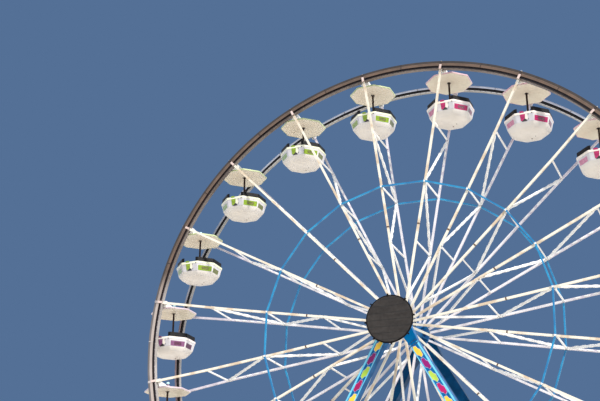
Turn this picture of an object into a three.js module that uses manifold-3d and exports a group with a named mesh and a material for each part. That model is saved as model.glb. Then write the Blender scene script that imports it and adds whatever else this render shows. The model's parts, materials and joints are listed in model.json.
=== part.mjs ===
// Fairground ferris wheel: two A-frames hold a fixed axle, a wheel of twenty flat truss spokes turns
// on it between two round rims, and twenty eight-sided tubs hang level between the rims.
// Millimetres, +Z up, the origin on the ground under the hub, the axle along Y, the front at -Y.
import * as THREE from "three";
import { mergeVertices } from "three/addons/utils/BufferGeometryUtils.js";
import Module from "manifold-3d";

const wasm = await Module();
wasm.setup();

// Fits
const GAP = 0.3;
const DEG = Math.PI / 180;

// Wheel
const HUB_HEIGHT = 15000;
const SPOKE_COUNT = 20;
const FIRST_SPOKE_ANGLE = 6.95 * DEG;
const STEP_ANGLE = (2 * Math.PI) / SPOKE_COUNT;

// Rims: each has a deep outer rail and a thin inner rail with a web between them
const RIM_SIDES = 3 * SPOKE_COUNT;
const RIM_NEAR_Y = 1150;
const INNER_RAIL = 35;
const RIM_WEB_THICKNESS = 60;
const FRONT_RIM = { side: -1, inner: 11710, outer: 12080, outerRail: 230, depth: 200 };
const REAR_RIM = { side: 1, inner: 11825, outer: 12085, outerRail: 105, depth: 160 };

// Spokes: rung radii, and how far the chords stand from the wheel's middle plane
const SPOKE_START = 450;
const BRACE_START = 1090;
const INNER_RUNG = 3660;
const MIDDLE_RUNG = 6420;
const OUTER_RUNG = 9240;
const CHORD_Y = 1020;
const CHORD_Y_OUTER_RUNG = 1060;
const CHORD_Y_RIM = 1240;
const CHORD_SIZE = 90;
const RUNG_SIZE = 60;
const BRACE_SIZE = 78;
const BRACE_SETBACK = 45;
const TIE_SIZE = 70;

// Hub and axle
const AXLE_RADIUS = 160;
const AXLE_FRONT = 2750;
const AXLE_REAR = 2300;
const FLANGE_RADIUS = 560;
const FLANGE_THICKNESS = 60;
const DRUM_RADIUS = 300;
const NOSE_RADIUS = 270;
const NOSE_Y = 1090;

// Hanging brackets and the tubs' own axles
const PIVOT_RADIUS = 11830;
const PIVOT_SIDES = 8;
const PIN_RADIUS = 48;
const PIN_HALF_LENGTH = 1140;
const BEARER_RADIUS = 70;
const BEARER_HALF_LENGTH = 1070;
const BRACKET_INNER_Y = 1090;
const BRACKET_HALF_WIDTH = 130;
const BRACKET_END_HALF = 75;
const BRACKET_REACH = 180;
const BRACKET_FOOT_Y = 1215;
const BRACKET_FOOT_DEPTH = 170;
const BRACKET_FOOT_CLEARANCE = 150;

// Tubs, measured down from the pivot
const TUB_SIDES = 8;
const CANOPY_RADIUS = 1070;
const CANOPY_DROP = 230;
const CANOPY_LIP = 45;
const CANOPY_HOLLOW = 40;
const CANOPY_FASCIA = 70;
const CANOPY_RISE = 150;
const POLE_RADIUS = 45;
const TUB_RIM_RADIUS = 1080;
const TUB_RIM_DROP = 1570;
const TUB_WAIST_RADIUS = 965;
const TUB_WAIST_DROP = 2030;
const TUB_KNEE_RADIUS = 800;
const TUB_KNEE_DROP = 2210;
const TUB_BASE_RADIUS = 520;
const TUB_BASE_DROP = 2270;
const TUB_WALL = 55;
const BENCH_DROP = 1870;
const BENCH_INNER_RADIUS = 560;
const WELL_RADIUS = 520;
const FLOOR_DROP = 2205;
const BACKREST_RISE = 220;
const BACKREST_THICKNESS = 70;
const BACKREST_INSET = 45;
const ENTRY_HALF_WIDTH = 300;

// A-frames
const LEG_LEAN = 29.5 * DEG;
const LEG_FACE_Y = 2150;
const LEG_DEPTH = 420;
const LEG_EDGE_AT_HUB = 320;
const LEG_WIDTH = 390;
const HEAD_REACH = 1270;
const HEAD_TOP = 620;
const HEAD_TOP_HALF = 210;
const HEAD_NOTCH = 420;

// Hub cover
const COVER_RADIUS = 1010;
const COVER_THICKNESS = 60;
const COVER_DROP = 285;
const COVER_SIDES = 32;

// Base and loading deck
const BEAM_HEIGHT = 200;
const BEAM_WIDTH = 600;
const BEAM_HALF_LENGTH = 3200;
const SILL_HEIGHT = 300;
const SILL_HALF_LENGTH = 8700;
const SILL_TOP = BEAM_HEIGHT + GAP + SILL_HEIGHT;
const DECK_HALF_WIDTH = 2000;
const DECK_THICKNESS = 80;
const DECK_REAR_Y = 1500;
const STAIR_BACK_Y = -2200;
const STAIR_RUN = 300;
const STAIR_RISE = 200;

// Colours and finishes
const FINISHES = {
  steel: { color: 0xc9c4b8, roughness: 0.55, metalness: 0.1 },
  rim: { color: 0x8d745c, roughness: 0.5, metalness: 0.1 },
  rearRim: { color: 0xd5d2cc, roughness: 0.5, metalness: 0.1 },
  tie: { color: 0x2f8fd6, roughness: 0.45, metalness: 0.1 },
  hub: { color: 0x1f6fae, roughness: 0.45, metalness: 0.1 },
  axle: { color: 0x6a6c70, roughness: 0.35, metalness: 0.8 },
  tub: { color: 0xe9e2d2, roughness: 0.4, metalness: 0 },
  leg: { color: 0x2a62a8, roughness: 0.4, metalness: 0.1 },
  cover: { color: 0x2c2a2b, roughness: 0.85, metalness: 0 },
  base: { color: 0x2f4f7c, roughness: 0.5, metalness: 0.1 },
  deck: { color: 0x9aa0a6, roughness: 0.6, metalness: 0.2 },
};

// Solids

function solidOf(geometry) {
  const bare = geometry.clone();
  bare.deleteAttribute("normal");
  bare.deleteAttribute("uv");
  const merged = mergeVertices(bare, 1e-3);
  const corners = [];
  for (let i = 0; i < merged.index.count; i += 3) {
    const face = [0, 1, 2].map((k) => merged.index.getX(i + k));
    if (new Set(face).size === 3) corners.push(...face);
  }
  return new wasm.Manifold(
    new wasm.Mesh({
      numProp: 3,
      vertProperties: merged.attributes.position.array,
      triVerts: new Uint32Array(corners),
    }),
  );
}

function geometryOf(solid) {
  const made = solid.getMesh();
  const positions = new Float32Array(made.numVert * 3);
  for (let i = 0; i < made.numVert; i++) {
    positions.set(made.vertProperties.subarray(i * made.numProp, i * made.numProp + 3), i * 3);
  }
  const geometry = new THREE.BufferGeometry();
  geometry.setAttribute("position", new THREE.BufferAttribute(positions, 3));
  geometry.setIndex(new THREE.BufferAttribute(made.triVerts, 1));
  return geometry;
}

function fuse(geometries) {
  return geometryOf(geometries.map(solidOf).reduce((whole, next) => whole.add(next)));
}

function outline(points) {
  return new THREE.Shape(points.map(([x, y]) => new THREE.Vector2(x, y)));
}

function ngon(centreX, centreY, radius, sides, phase) {
  return Array.from({ length: sides }, (_, i) => {
    const angle = phase + (i * 2 * Math.PI) / sides;
    return [centreX + radius * Math.cos(angle), centreY + radius * Math.sin(angle)];
  });
}

// A flat shape drawn in X and Y, with its thickness centred on Z = 0
function flatBar(points, thickness) {
  const options = { depth: thickness, bevelEnabled: false };
  return new THREE.ExtrudeGeometry(outline(points), options).translate(0, 0, -thickness / 2);
}

// A flat shape drawn in X and Z, reaching from one Y to another
function uprightSlab(points, fromY, toY, hole = null) {
  const shape = outline(points);
  if (hole) shape.holes.push(new THREE.Path(hole.map(([x, y]) => new THREE.Vector2(x, y))));
  const options = { depth: toY - fromY, bevelEnabled: false };
  return new THREE.ExtrudeGeometry(shape, options).rotateX(Math.PI / 2).translate(0, toY, 0);
}

function box(fromX, toX, fromY, toY, fromZ, toZ) {
  const geometry = new THREE.BoxGeometry(toX - fromX, toY - fromY, toZ - fromZ);
  return geometry.translate((fromX + toX) / 2, (fromY + toY) / 2, (fromZ + toZ) / 2);
}

// A ring round Y whose section is given as radius and Y, with a corner at each spoke
function ringAboutY(section, sides, firstAngle) {
  const points = section.map(([radius, y]) => new THREE.Vector2(radius, y));
  return new THREE.LatheGeometry(points, sides, Math.PI / 2 - firstAngle);
}

function closed(section) {
  return [...section, section[0]];
}

// Circumscribed radius of a bore whose flats clear a round pin by the gap
function boreRadius(pinRadius, sides) {
  return (pinRadius + GAP) / Math.cos(Math.PI / sides);
}

function strip(fromX, fromY, toX, toY, width) {
  const along = new THREE.Vector2(toX - fromX, toY - fromY).normalize();
  const sideX = (-along.y * width) / 2;
  const sideY = (along.x * width) / 2;
  return [
    [fromX + sideX, fromY + sideY],
    [fromX - sideX, fromY - sideY],
    [toX - sideX, toY - sideY],
    [toX + sideX, toY + sideY],
  ];
}

// Spokes: drawn along X with the chords apart in Y, then turned to their angle in the wheel

// The chord's square end clears the flats of the rim on both sides of the rim's corner
function chord(rim) {
  const end = rim.inner - (CHORD_SIZE / 2) * Math.tan(Math.PI / RIM_SIDES) - GAP;
  const line = [
    [SPOKE_START, CHORD_Y],
    [MIDDLE_RUNG, CHORD_Y],
    [OUTER_RUNG, CHORD_Y_OUTER_RUNG],
    [end, CHORD_Y_RIM],
  ];
  const outer = line.map(([r, y]) => [r, rim.side * (y + CHORD_SIZE / 2)]);
  const inner = line.map(([r, y]) => [r, rim.side * (y - CHORD_SIZE / 2)]);
  return flatBar([...outer, ...inner.reverse()], CHORD_SIZE);
}

function rung(radius, reach) {
  return flatBar(strip(radius, -reach, radius, reach, RUNG_SIZE), RUNG_SIZE);
}

// Each brace stops a little short of the rungs at its two ends
function braces(side) {
  const nodes = [
    [BRACE_START, side * CHORD_Y],
    [INNER_RUNG, -side * CHORD_Y],
    [MIDDLE_RUNG, side * CHORD_Y],
    [OUTER_RUNG, -side * CHORD_Y_OUTER_RUNG],
  ];
  return nodes.slice(1).map(([r, y], i) => {
    const from = nodes[i][0] + BRACE_SETBACK;
    return flatBar(strip(from, nodes[i][1], r - BRACE_SETBACK, y, BRACE_SIZE), BRACE_SIZE);
  });
}

// A plate against the inner side of the rim, and the foot that joins it to the chord
function bracket(side, spokeAngle) {
  const near = RIM_NEAR_Y - GAP;
  const plate = [
    [PIVOT_RADIUS - BRACKET_REACH, -BRACKET_END_HALF],
    [PIVOT_RADIUS, -BRACKET_HALF_WIDTH],
    [PIVOT_RADIUS + BRACKET_REACH, -BRACKET_END_HALF],
    [PIVOT_RADIUS + BRACKET_REACH, BRACKET_END_HALF],
    [PIVOT_RADIUS, BRACKET_HALF_WIDTH],
    [PIVOT_RADIUS - BRACKET_REACH, BRACKET_END_HALF],
  ];
  const radius = boreRadius(PIN_RADIUS, PIVOT_SIDES);
  const hole = ngon(PIVOT_RADIUS, 0, radius, PIVOT_SIDES, -spokeAngle);
  const [low, high] = [side * BRACKET_INNER_Y, side * near].sort((a, b) => a - b);
  const [footLow, footHigh] = [side * BRACKET_INNER_Y, side * BRACKET_FOOT_Y].sort((a, b) => a - b);
  const footTop = PIVOT_RADIUS - BRACKET_FOOT_CLEARANCE;
  const footHalf = RUNG_SIZE / 2;
  return [
    uprightSlab(plate, low, high, hole),
    box(footTop - BRACKET_FOOT_DEPTH, footTop, footLow, footHigh, -footHalf, footHalf),
  ];
}

// The braces of neighbouring spokes lean opposite ways
function spokeGeometry(index, spokeAngle) {
  const leaning = index % 2 === 0 ? -1 : 1;
  return fuse([
    chord(FRONT_RIM),
    chord(REAR_RIM),
    rung(INNER_RUNG, CHORD_Y),
    rung(MIDDLE_RUNG, CHORD_Y),
    rung(OUTER_RUNG, CHORD_Y_OUTER_RUNG),
    ...braces(leaning),
    ...bracket(-1, spokeAngle),
    ...bracket(1, spokeAngle),
  ]);
}

// Rims, tie rings and hub

function rimGeometry(rim) {
  const near = RIM_NEAR_Y;
  const far = near + rim.depth;
  const webNear = (near + far - RIM_WEB_THICKNESS) / 2;
  const webFar = webNear + RIM_WEB_THICKNESS;
  const innerTop = rim.inner + INNER_RAIL;
  const outerFoot = rim.outer - rim.outerRail;
  const section = [
    [rim.inner, near],
    [innerTop, near],
    [innerTop, webNear],
    [outerFoot, webNear],
    [outerFoot, near],
    [rim.outer, near],
    [rim.outer, far],
    [outerFoot, far],
    [outerFoot, webFar],
    [innerTop, webFar],
    [innerTop, far],
    [rim.inner, far],
  ];
  const placed = section.map(([r, y]) => [r, rim.side * y]);
  if (rim.side < 0) placed.reverse();
  return ringAboutY(closed(placed), RIM_SIDES, FIRST_SPOKE_ANGLE);
}

function tieRingGeometry(side) {
  const near = CHORD_Y + CHORD_SIZE / 2 + GAP;
  const far = near + TIE_SIZE;
  const section = [
    [MIDDLE_RUNG - TIE_SIZE, near],
    [MIDDLE_RUNG, near],
    [MIDDLE_RUNG, far],
    [MIDDLE_RUNG - TIE_SIZE, far],
  ].map(([r, y]) => [r, side * y]);
  if (side < 0) section.reverse();
  return ringAboutY(closed(section), SPOKE_COUNT, FIRST_SPOKE_ANGLE);
}

function hubGeometry() {
  const bore = boreRadius(AXLE_RADIUS, SPOKE_COUNT);
  const flangeFace = CHORD_Y - CHORD_SIZE / 2 - GAP;
  const flangeBack = flangeFace - FLANGE_THICKNESS;
  const half = [
    [DRUM_RADIUS, flangeBack],
    [FLANGE_RADIUS, flangeBack],
    [FLANGE_RADIUS, flangeFace],
    [NOSE_RADIUS, flangeFace],
    [NOSE_RADIUS, NOSE_Y],
    [bore, NOSE_Y],
  ];
  const mirrored = half.map(([r, y]) => [r, -y]).reverse();
  return ringAboutY(closed([...mirrored, ...half]), SPOKE_COUNT, FIRST_SPOKE_ANGLE);
}

// The axle's corners face the flats of the hub's bore
function axleGeometry() {
  const phase = FIRST_SPOKE_ANGLE + STEP_ANGLE / 2;
  const section = ngon(0, 0, AXLE_RADIUS, SPOKE_COUNT, phase);
  return uprightSlab(section, -AXLE_FRONT, AXLE_REAR);
}

// Tubs: eight-sided, flats to the front and sides, with the pivot at the origin

function revolveAboutZ(section) {
  const points = section.map(([radius, z]) => new THREE.Vector2(radius, z));
  return new THREE.LatheGeometry(points, TUB_SIDES, Math.PI / TUB_SIDES).rotateX(Math.PI / 2);
}

function tubShell() {
  const backrestTop = BACKREST_RISE - TUB_RIM_DROP;
  const backrestOuter = TUB_RIM_RADIUS - BACKREST_INSET;
  const wallLean = (TUB_RIM_RADIUS - TUB_WAIST_RADIUS) / (TUB_WAIST_DROP - TUB_RIM_DROP);
  const benchOuter = TUB_RIM_RADIUS - TUB_WALL - wallLean * (BENCH_DROP - TUB_RIM_DROP);
  return revolveAboutZ([
    [0, -TUB_BASE_DROP],
    [TUB_BASE_RADIUS, -TUB_BASE_DROP],
    [TUB_KNEE_RADIUS, -TUB_KNEE_DROP],
    [TUB_WAIST_RADIUS, -TUB_WAIST_DROP],
    [TUB_RIM_RADIUS, -TUB_RIM_DROP],
    [backrestOuter, -TUB_RIM_DROP],
    [backrestOuter, backrestTop],
    [backrestOuter - BACKREST_THICKNESS, backrestTop],
    [benchOuter, -BENCH_DROP],
    [BENCH_INNER_RADIUS, -BENCH_DROP],
    [WELL_RADIUS, -FLOOR_DROP],
    [0, -FLOOR_DROP],
  ]);
}

// The gap in the padded backs on the front side, where the riders step in
function entryGap() {
  const top = 2 * BACKREST_RISE - TUB_RIM_DROP;
  return box(-ENTRY_HALF_WIDTH, ENTRY_HALF_WIDTH, -TUB_RIM_RADIUS, 0, -TUB_RIM_DROP, top);
}

function canopy() {
  const edge = -CANOPY_DROP;
  return revolveAboutZ([
    [0, edge + CANOPY_HOLLOW],
    [CANOPY_RADIUS - CANOPY_LIP, edge],
    [CANOPY_RADIUS, edge],
    [CANOPY_RADIUS, edge + CANOPY_FASCIA],
    [0, edge + CANOPY_RISE],
  ]);
}

// An eight-sided bar along Y through the pivot
function barThroughPivot(radius, halfLength) {
  const phase = Math.PI / PIVOT_SIDES;
  return new THREE.CylinderGeometry(radius, radius, 2 * halfLength, PIVOT_SIDES, 1, false, phase);
}

// The bearer lies over the canopy and ends in the pins that turn in the brackets
function tubGeometry() {
  const poleBottom = -FLOOR_DROP - TUB_WALL / 2;
  const pole = new THREE.CylinderGeometry(POLE_RADIUS, POLE_RADIUS, -poleBottom, TUB_SIDES);
  pole.rotateX(Math.PI / 2).translate(0, 0, poleBottom / 2);
  const bearer = barThroughPivot(BEARER_RADIUS, BEARER_HALF_LENGTH);
  const pins = barThroughPivot(PIN_RADIUS, PIN_HALF_LENGTH);
  const shell = solidOf(tubShell()).subtract(solidOf(entryGap()));
  const rest = [canopy(), pole, bearer, pins].map(solidOf);
  return geometryOf(rest.reduce((whole, next) => whole.add(next), shell));
}

// A-frames: the outer edge of each leg is one straight line from the head to the ground

const LEG_ALONG = [Math.sin(LEG_LEAN), -Math.cos(LEG_LEAN)];
const LEG_ACROSS = [Math.cos(LEG_LEAN), Math.sin(LEG_LEAN)];

function onLeg(along, inset) {
  return [
    LEG_EDGE_AT_HUB + LEG_ALONG[0] * along - LEG_ACROSS[0] * inset,
    HUB_HEIGHT + LEG_ALONG[1] * along - LEG_ACROSS[1] * inset,
  ];
}

// The point where a line at this inset meets the top of the sill
function legFoot(inset) {
  const start = onLeg(0, inset);
  const along = (start[1] - SILL_TOP - GAP) / Math.cos(LEG_LEAN);
  return onLeg(along, inset);
}

function legGeometry(sideX, sideY) {
  const top = HEAD_REACH + GAP;
  const points = [
    onLeg(top, 0),
    legFoot(0),
    legFoot(LEG_WIDTH),
    onLeg(top, LEG_WIDTH),
  ].map(([x, z]) => [sideX * x, z]);
  const near = LEG_FACE_Y - LEG_DEPTH;
  const low = sideY < 0 ? -LEG_FACE_Y : near;
  return uprightSlab(points, low, low + LEG_DEPTH);
}

// The head joins a pair of legs and holds the end of the axle
function headGeometry(sideY) {
  const right = [onLeg(HEAD_REACH, 0), onLeg(HEAD_REACH, LEG_WIDTH)];
  const left = right.map(([x, z]) => [-x, z]).reverse();
  const points = [
    [-HEAD_TOP_HALF, HUB_HEIGHT + HEAD_TOP],
    [HEAD_TOP_HALF, HUB_HEIGHT + HEAD_TOP],
    ...right,
    [0, HUB_HEIGHT - HEAD_NOTCH],
    ...left,
  ];
  const phase = FIRST_SPOKE_ANGLE + STEP_ANGLE / 2;
  const seat = AXLE_RADIUS + GAP / Math.cos(STEP_ANGLE / 2);
  const hole = ngon(0, HUB_HEIGHT, seat, SPOKE_COUNT, phase);
  const near = LEG_FACE_Y - LEG_DEPTH;
  const low = sideY < 0 ? -LEG_FACE_Y : near;
  return uprightSlab(points, low, low + LEG_DEPTH, hole);
}

function coverGeometry() {
  const section = ngon(0, HUB_HEIGHT - COVER_DROP, COVER_RADIUS, COVER_SIDES, 0);
  const back = -AXLE_FRONT - GAP;
  return uprightSlab(section, back - COVER_THICKNESS, back);
}

// Base: two cross beams on the ground, two sills on them, and a deck over the sills

function crossBeamGeometry(sideX) {
  const centre = sideX * (legFoot(0)[0] + legFoot(LEG_WIDTH)[0]) / 2;
  const half = BEAM_WIDTH / 2;
  return box(centre - half, centre + half, -BEAM_HALF_LENGTH, BEAM_HALF_LENGTH, 0, BEAM_HEIGHT);
}

function sillGeometry(sideY) {
  const low = sideY < 0 ? -LEG_FACE_Y : LEG_FACE_Y - LEG_DEPTH;
  const foot = BEAM_HEIGHT + GAP;
  return box(-SILL_HALF_LENGTH, SILL_HALF_LENGTH, low, low + LEG_DEPTH, foot, SILL_TOP);
}

function deckGeometry() {
  const front = -BEAM_HALF_LENGTH;
  const underside = SILL_TOP + GAP;
  const profile = [
    [front, 0],
    [STAIR_BACK_Y, 0],
    [STAIR_BACK_Y, underside],
    [DECK_REAR_Y, underside],
    [DECK_REAR_Y, underside + DECK_THICKNESS],
    [front + 2 * STAIR_RUN, underside + DECK_THICKNESS],
    [front + 2 * STAIR_RUN, 2 * STAIR_RISE],
    [front + STAIR_RUN, 2 * STAIR_RISE],
    [front + STAIR_RUN, STAIR_RISE],
    [front, STAIR_RISE],
  ];
  const slab = flatBar(profile, 2 * DECK_HALF_WIDTH);
  return slab.rotateX(Math.PI / 2).rotateZ(Math.PI / 2);
}

// Assembly

function addPiece(group, name, geometry, finish) {
  const mesh = new THREE.Mesh(geometry, new THREE.MeshStandardMaterial(FINISHES[finish]));
  mesh.name = name;
  group.add(mesh);
  return mesh;
}

function numbered(stem, index) {
  return `${stem}_${String(index + 1).padStart(2, "0")}`;
}

const group = new THREE.Group();

const wheel = new THREE.Group();
wheel.position.z = HUB_HEIGHT;
group.add(wheel);

const sharedTub = tubGeometry();
for (let i = 0; i < SPOKE_COUNT; i++) {
  const angle = FIRST_SPOKE_ANGLE + i * STEP_ANGLE;
  const spoke = addPiece(wheel, numbered("spoke", i), spokeGeometry(i, angle), "steel");
  spoke.rotation.y = -angle;
  const tub = addPiece(wheel, numbered("gondola", i), sharedTub, "tub");
  tub.position.set(PIVOT_RADIUS * Math.cos(angle), 0, PIVOT_RADIUS * Math.sin(angle));
}
addPiece(wheel, "front_rim", rimGeometry(FRONT_RIM), "rim");
addPiece(wheel, "rear_rim", rimGeometry(REAR_RIM), "rearRim");
addPiece(wheel, "front_tie_ring", tieRingGeometry(-1), "tie");
addPiece(wheel, "rear_tie_ring", tieRingGeometry(1), "tie");
addPiece(wheel, "hub", hubGeometry(), "hub");

const axle = addPiece(group, "axle", axleGeometry(), "axle");
axle.position.z = HUB_HEIGHT;
for (const [name, sideY] of [["front", -1], ["rear", 1]]) {
  addPiece(group, `${name}_left_leg`, legGeometry(-1, sideY), "leg");
  addPiece(group, `${name}_right_leg`, legGeometry(1, sideY), "leg");
  addPiece(group, `${name}_head`, headGeometry(sideY), "leg");
  addPiece(group, `${name}_sill`, sillGeometry(sideY), "base");
}
addPiece(group, "front_hub_cover", coverGeometry(), "cover");
addPiece(group, "left_cross_beam", crossBeamGeometry(-1), "base");
addPiece(group, "right_cross_beam", crossBeamGeometry(1), "base");
addPiece(group, "loading_deck", deckGeometry(), "deck");

export default group;
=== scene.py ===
"""The looks of a fairground ferris wheel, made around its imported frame. Metres, Z up, front at -Y."""
import json
from math import atan2, copysign, cos, pi, radians, sin

import bmesh
import bpy
from mathutils import Matrix, Vector


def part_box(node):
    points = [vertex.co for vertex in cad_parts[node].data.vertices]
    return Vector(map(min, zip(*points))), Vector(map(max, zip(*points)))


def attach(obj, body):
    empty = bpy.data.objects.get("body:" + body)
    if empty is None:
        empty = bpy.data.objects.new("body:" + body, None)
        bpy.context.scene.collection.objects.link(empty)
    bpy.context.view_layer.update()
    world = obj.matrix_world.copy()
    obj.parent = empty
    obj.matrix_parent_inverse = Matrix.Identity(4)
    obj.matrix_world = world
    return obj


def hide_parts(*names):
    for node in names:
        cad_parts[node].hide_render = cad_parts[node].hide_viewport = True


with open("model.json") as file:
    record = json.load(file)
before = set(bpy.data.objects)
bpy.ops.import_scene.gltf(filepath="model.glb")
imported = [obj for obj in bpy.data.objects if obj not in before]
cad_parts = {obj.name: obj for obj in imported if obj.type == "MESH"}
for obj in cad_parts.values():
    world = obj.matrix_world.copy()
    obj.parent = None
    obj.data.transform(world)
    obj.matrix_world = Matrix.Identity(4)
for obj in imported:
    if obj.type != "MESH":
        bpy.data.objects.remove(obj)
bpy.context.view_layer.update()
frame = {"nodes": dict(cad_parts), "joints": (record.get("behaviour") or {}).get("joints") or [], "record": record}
nodes = frame["nodes"]
scene = bpy.context.scene
pivot_of = {joint["name"]: Vector(joint["pos_m"]) for joint in frame["joints"]}
slot_of = {part["node"]: part["material_slot"] for part in frame["record"]["subparts"]}

# Wheel, from the frame's joints
HUB = pivot_of["wheel_spin"]
COUNT = len(pivot_of) - 1
NUMBERS = [f"{i + 1:02d}" for i in range(COUNT)]
PIVOTS = [pivot_of[f"tub_swing_{number}"] for number in NUMBERS]
ANGLES = [atan2(pivot.z - HUB.z, pivot.x - HUB.x) for pivot in PIVOTS]
STEP = 2 * pi / COUNT
PIVOT_RADIUS = (PIVOTS[0] - HUB).length

# Rims: radii, and the near and far faces from the wheel's middle plane
RIM_NEAR = 1.15
RIM_RAIL = 0.035
RIM_WEB = 0.03
RIMS = {
    "front": {"side": -1, "inner": 11.71, "foot": 11.85, "outer": 12.08, "far": 1.35, "lip": 0.095},
    "rear": {"side": 1, "inner": 11.825, "foot": 11.99, "outer": 12.085, "far": 1.31, "lip": 0.012},
}
STUDS = 14
BAND_HALF, SEAM_HALF = 0.048, 0.014

# Spokes
SPOKE_START = 0.45
CHORD_Y = 1.02
CHORD_Y_OUTER = 1.06
CHORD_Y_RIM = 1.24
CHORD = 0.09
BRACE = 0.078
MIDDLE_RUNG, OUTER_RUNG = 6.42, 9.24
BRACE_NODES = ((1.09, CHORD_Y), (3.66, CHORD_Y), (MIDDLE_RUNG, CHORD_Y), (OUTER_RUNG, CHORD_Y_OUTER))
TIE = 0.07
LAMP_HALF_WIDTH, LAMP_HEIGHT = 0.034, 0.022
CLAMP_AT = 4.44

# Hub
HUB_FLANGE = 0.56
HUB_DRUM = 0.30
FLANGE_FACE = CHORD_Y - CHORD / 2 - 0.0003
FLANGE_BACK = FLANGE_FACE - 0.06
NOSE_Y = 1.09
FLANGE_BOLTS, NOSE_BOLTS = 0.515, 0.225

# Tubs, from the pivot: corner radii and heights of the eight-sided forms
CANOPY_RADIUS, CANOPY_TOP = 1.07, -0.08
TUB_RIM, TUB_RIM_Z = 1.08, -1.57
WAIST, WAIST_Z = 0.965, -2.03
BASE_Z = -2.27
BENCH_Z, BENCH_INNER = -1.87, 0.56
FLOOR_Z, WELL = -2.205, 0.52
BACK_OUTER, BACK_TOP = 1.035, -1.35
POLE = 0.045
BEARER, BEARER_END, PIN, PIN_END = 0.07, 1.07, 0.048, 1.14
FLAT = cos(pi / 8)
ENTRY = 6
PAD_COLUMNS, PAD_ROWS, PAD_SWELL = 12, 6, 0.014

# A-frames and base
LEG_LEAN = radians(29.5)
LEG_FACE, LEG_DEPTH = 2.15, 0.42
LEG_EDGE, LEG_WIDTH = 0.32, 0.39
LEG_START = 1.27
SPLICES = (6.3, 11.6)
SILL_FOOT, SILL_TOP = 0.2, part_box("front_sill")[1].z
TREAD, RISE = 0.3, 0.2

# Hub cover, and the axle's ends
COVER_CENTRE = sum(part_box("front_hub_cover"), Vector((0, 0, 0))) / 2
COVER_RADIUS, HOOP = 1.01, 0.033
SHEET_RADIUS = 0.965
SHEET_Y, HOOP_Y = -2.80, -2.775
TIES, TIE_TURN = 8, radians(3)
AXLE_FRONT, AXLE_REAR = -2.75, 2.30

# Sun and camera
SUN_TOWARDS, SUN_ENERGY = Vector((-0.62, 0.42, -0.66)), 3.9
CAMERA_AT = Vector((13.892, -44.063, 1.687))
CAMERA_YAW, CAMERA_PITCH, CAMERA_ROLL = radians(23.373), radians(22.743), radians(0.154)
CAMERA_LENS = 66.96


# Shapes

def vec(x, y, z):
    return Vector((x, y, z))


def round_axis(axis, sides):
    """The axis as a unit vector, and directions square to it, one for each side."""
    axis = Vector(axis).normalized()
    across = axis.orthogonal().normalized()
    third = axis.cross(across)
    turns = [2 * pi * k / sides for k in range(sides)]
    return axis, [cos(turn) * across + sin(turn) * third for turn in turns]


class Shape:
    """Vertices and faces gathered from simple forms. Each face has the number of its material."""

    def __init__(self):
        self.vertices = []
        self.faces = []
        self.materials = []

    def add(self, points, faces, material=0):
        first = len(self.vertices)
        self.vertices += points
        self.faces += [[first + index for index in face] for face in faces]
        self.materials += [material] * len(faces)

    def loft(self, rings, material=0, first_cap=True, last_cap=True):
        """A skin over closed rings of points, each with the same count."""
        count = len(rings[0])
        last = (len(rings) - 1) * count
        faces = []
        for low in range(0, last, count):
            for k in range(count):
                after = (k + 1) % count
                faces.append([low + k, low + after, low + count + after, low + count + k])
        if first_cap:
            faces.append(list(range(count))[::-1])
        if last_cap:
            faces.append([last + k for k in range(count)])
        self.add([point for ring in rings for point in ring], faces, material)

    def prism(self, outline, thickness, material=0):
        """A flat outline of points, given its thickness as a vector."""
        self.loft([outline, [point + thickness for point in outline]], material)

    def block(self, centre, along, across, up, material=0):
        """A box with those three half sides, as vectors."""
        outline = [centre - along - across - up, centre + along - across - up,
                   centre + along + across - up, centre - along + across - up]
        self.prism(outline, 2 * up, material)

    def box(self, centre, x, y, z, material=0):
        """A box with those half sides along the axes."""
        self.block(centre, vec(x, 0, 0), vec(0, y, 0), vec(0, 0, z), material)

    def turned(self, foot, axis, profile, sides, material=0):
        """A form turned round an axis. The profile is pairs of radius and height over the foot."""
        axis, ways = round_axis(axis, sides)
        foot = Vector(foot)
        rings = [[foot + axis * height + way * radius for way in ways] for radius, height in profile]
        self.loft(rings, material)

    def rod(self, start, end, radius, sides, material=0):
        self.turned(start, end - start, [(radius, 0), (radius, (end - start).length)], sides, material)

    def bolt(self, place, axis, radius, material=0):
        """A washer with a six-sided head."""
        self.turned(place, axis, [(radius * 1.5, 0), (radius * 1.5, radius * 0.3)], 12, material)
        self.turned(place, axis, [(radius, radius * 0.3), (radius, radius), (radius * 0.8, radius * 1.1)],
                    6, material)

    def ring(self, centre, axis, section, sides, materials):
        """A closed section of radius and height, turned into a ring. Each edge has its material."""
        axis, ways = round_axis(axis, sides)
        count = len(section)
        first = len(self.vertices)
        for k, way in enumerate(ways):
            self.vertices += [Vector(centre) + axis * height + way * radius for radius, height in section]
            near, far = first + k * count, first + (k + 1) % sides * count
            for j in range(count):
                after = (j + 1) % count
                self.faces.append([near + j, far + j, far + after, near + after])
            self.materials += materials

    def hoop(self, centre, axis, radius, tube, sides, tube_sides, material=0):
        """A ring of round tube."""
        turns = [2 * pi * j / tube_sides for j in range(tube_sides)]
        section = [(radius + tube * cos(turn), tube * sin(turn)) for turn in turns]
        self.ring(centre, axis, section, sides, [material] * tube_sides)


def mesh_of(name, shape, materials, sharp=35):
    mesh = bpy.data.meshes.new(name)
    mesh.from_pydata([tuple(point) for point in shape.vertices], [], shape.faces)
    for material in materials:
        mesh.materials.append(material)
    mesh.polygons.foreach_set("material_index", shape.materials)
    mesh.polygons.foreach_set("use_smooth", [True] * len(mesh.polygons))
    mesh.set_sharp_from_angle(angle=radians(sharp))
    mesh.validate()
    mesh.update()
    work = bmesh.new()
    work.from_mesh(mesh)
    bmesh.ops.recalc_face_normals(work, faces=work.faces)
    work.to_mesh(mesh)
    work.free()
    return mesh


def new_object(name, data):
    made = bpy.data.objects.new(name, data)
    scene.collection.objects.link(made)
    return made


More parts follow.
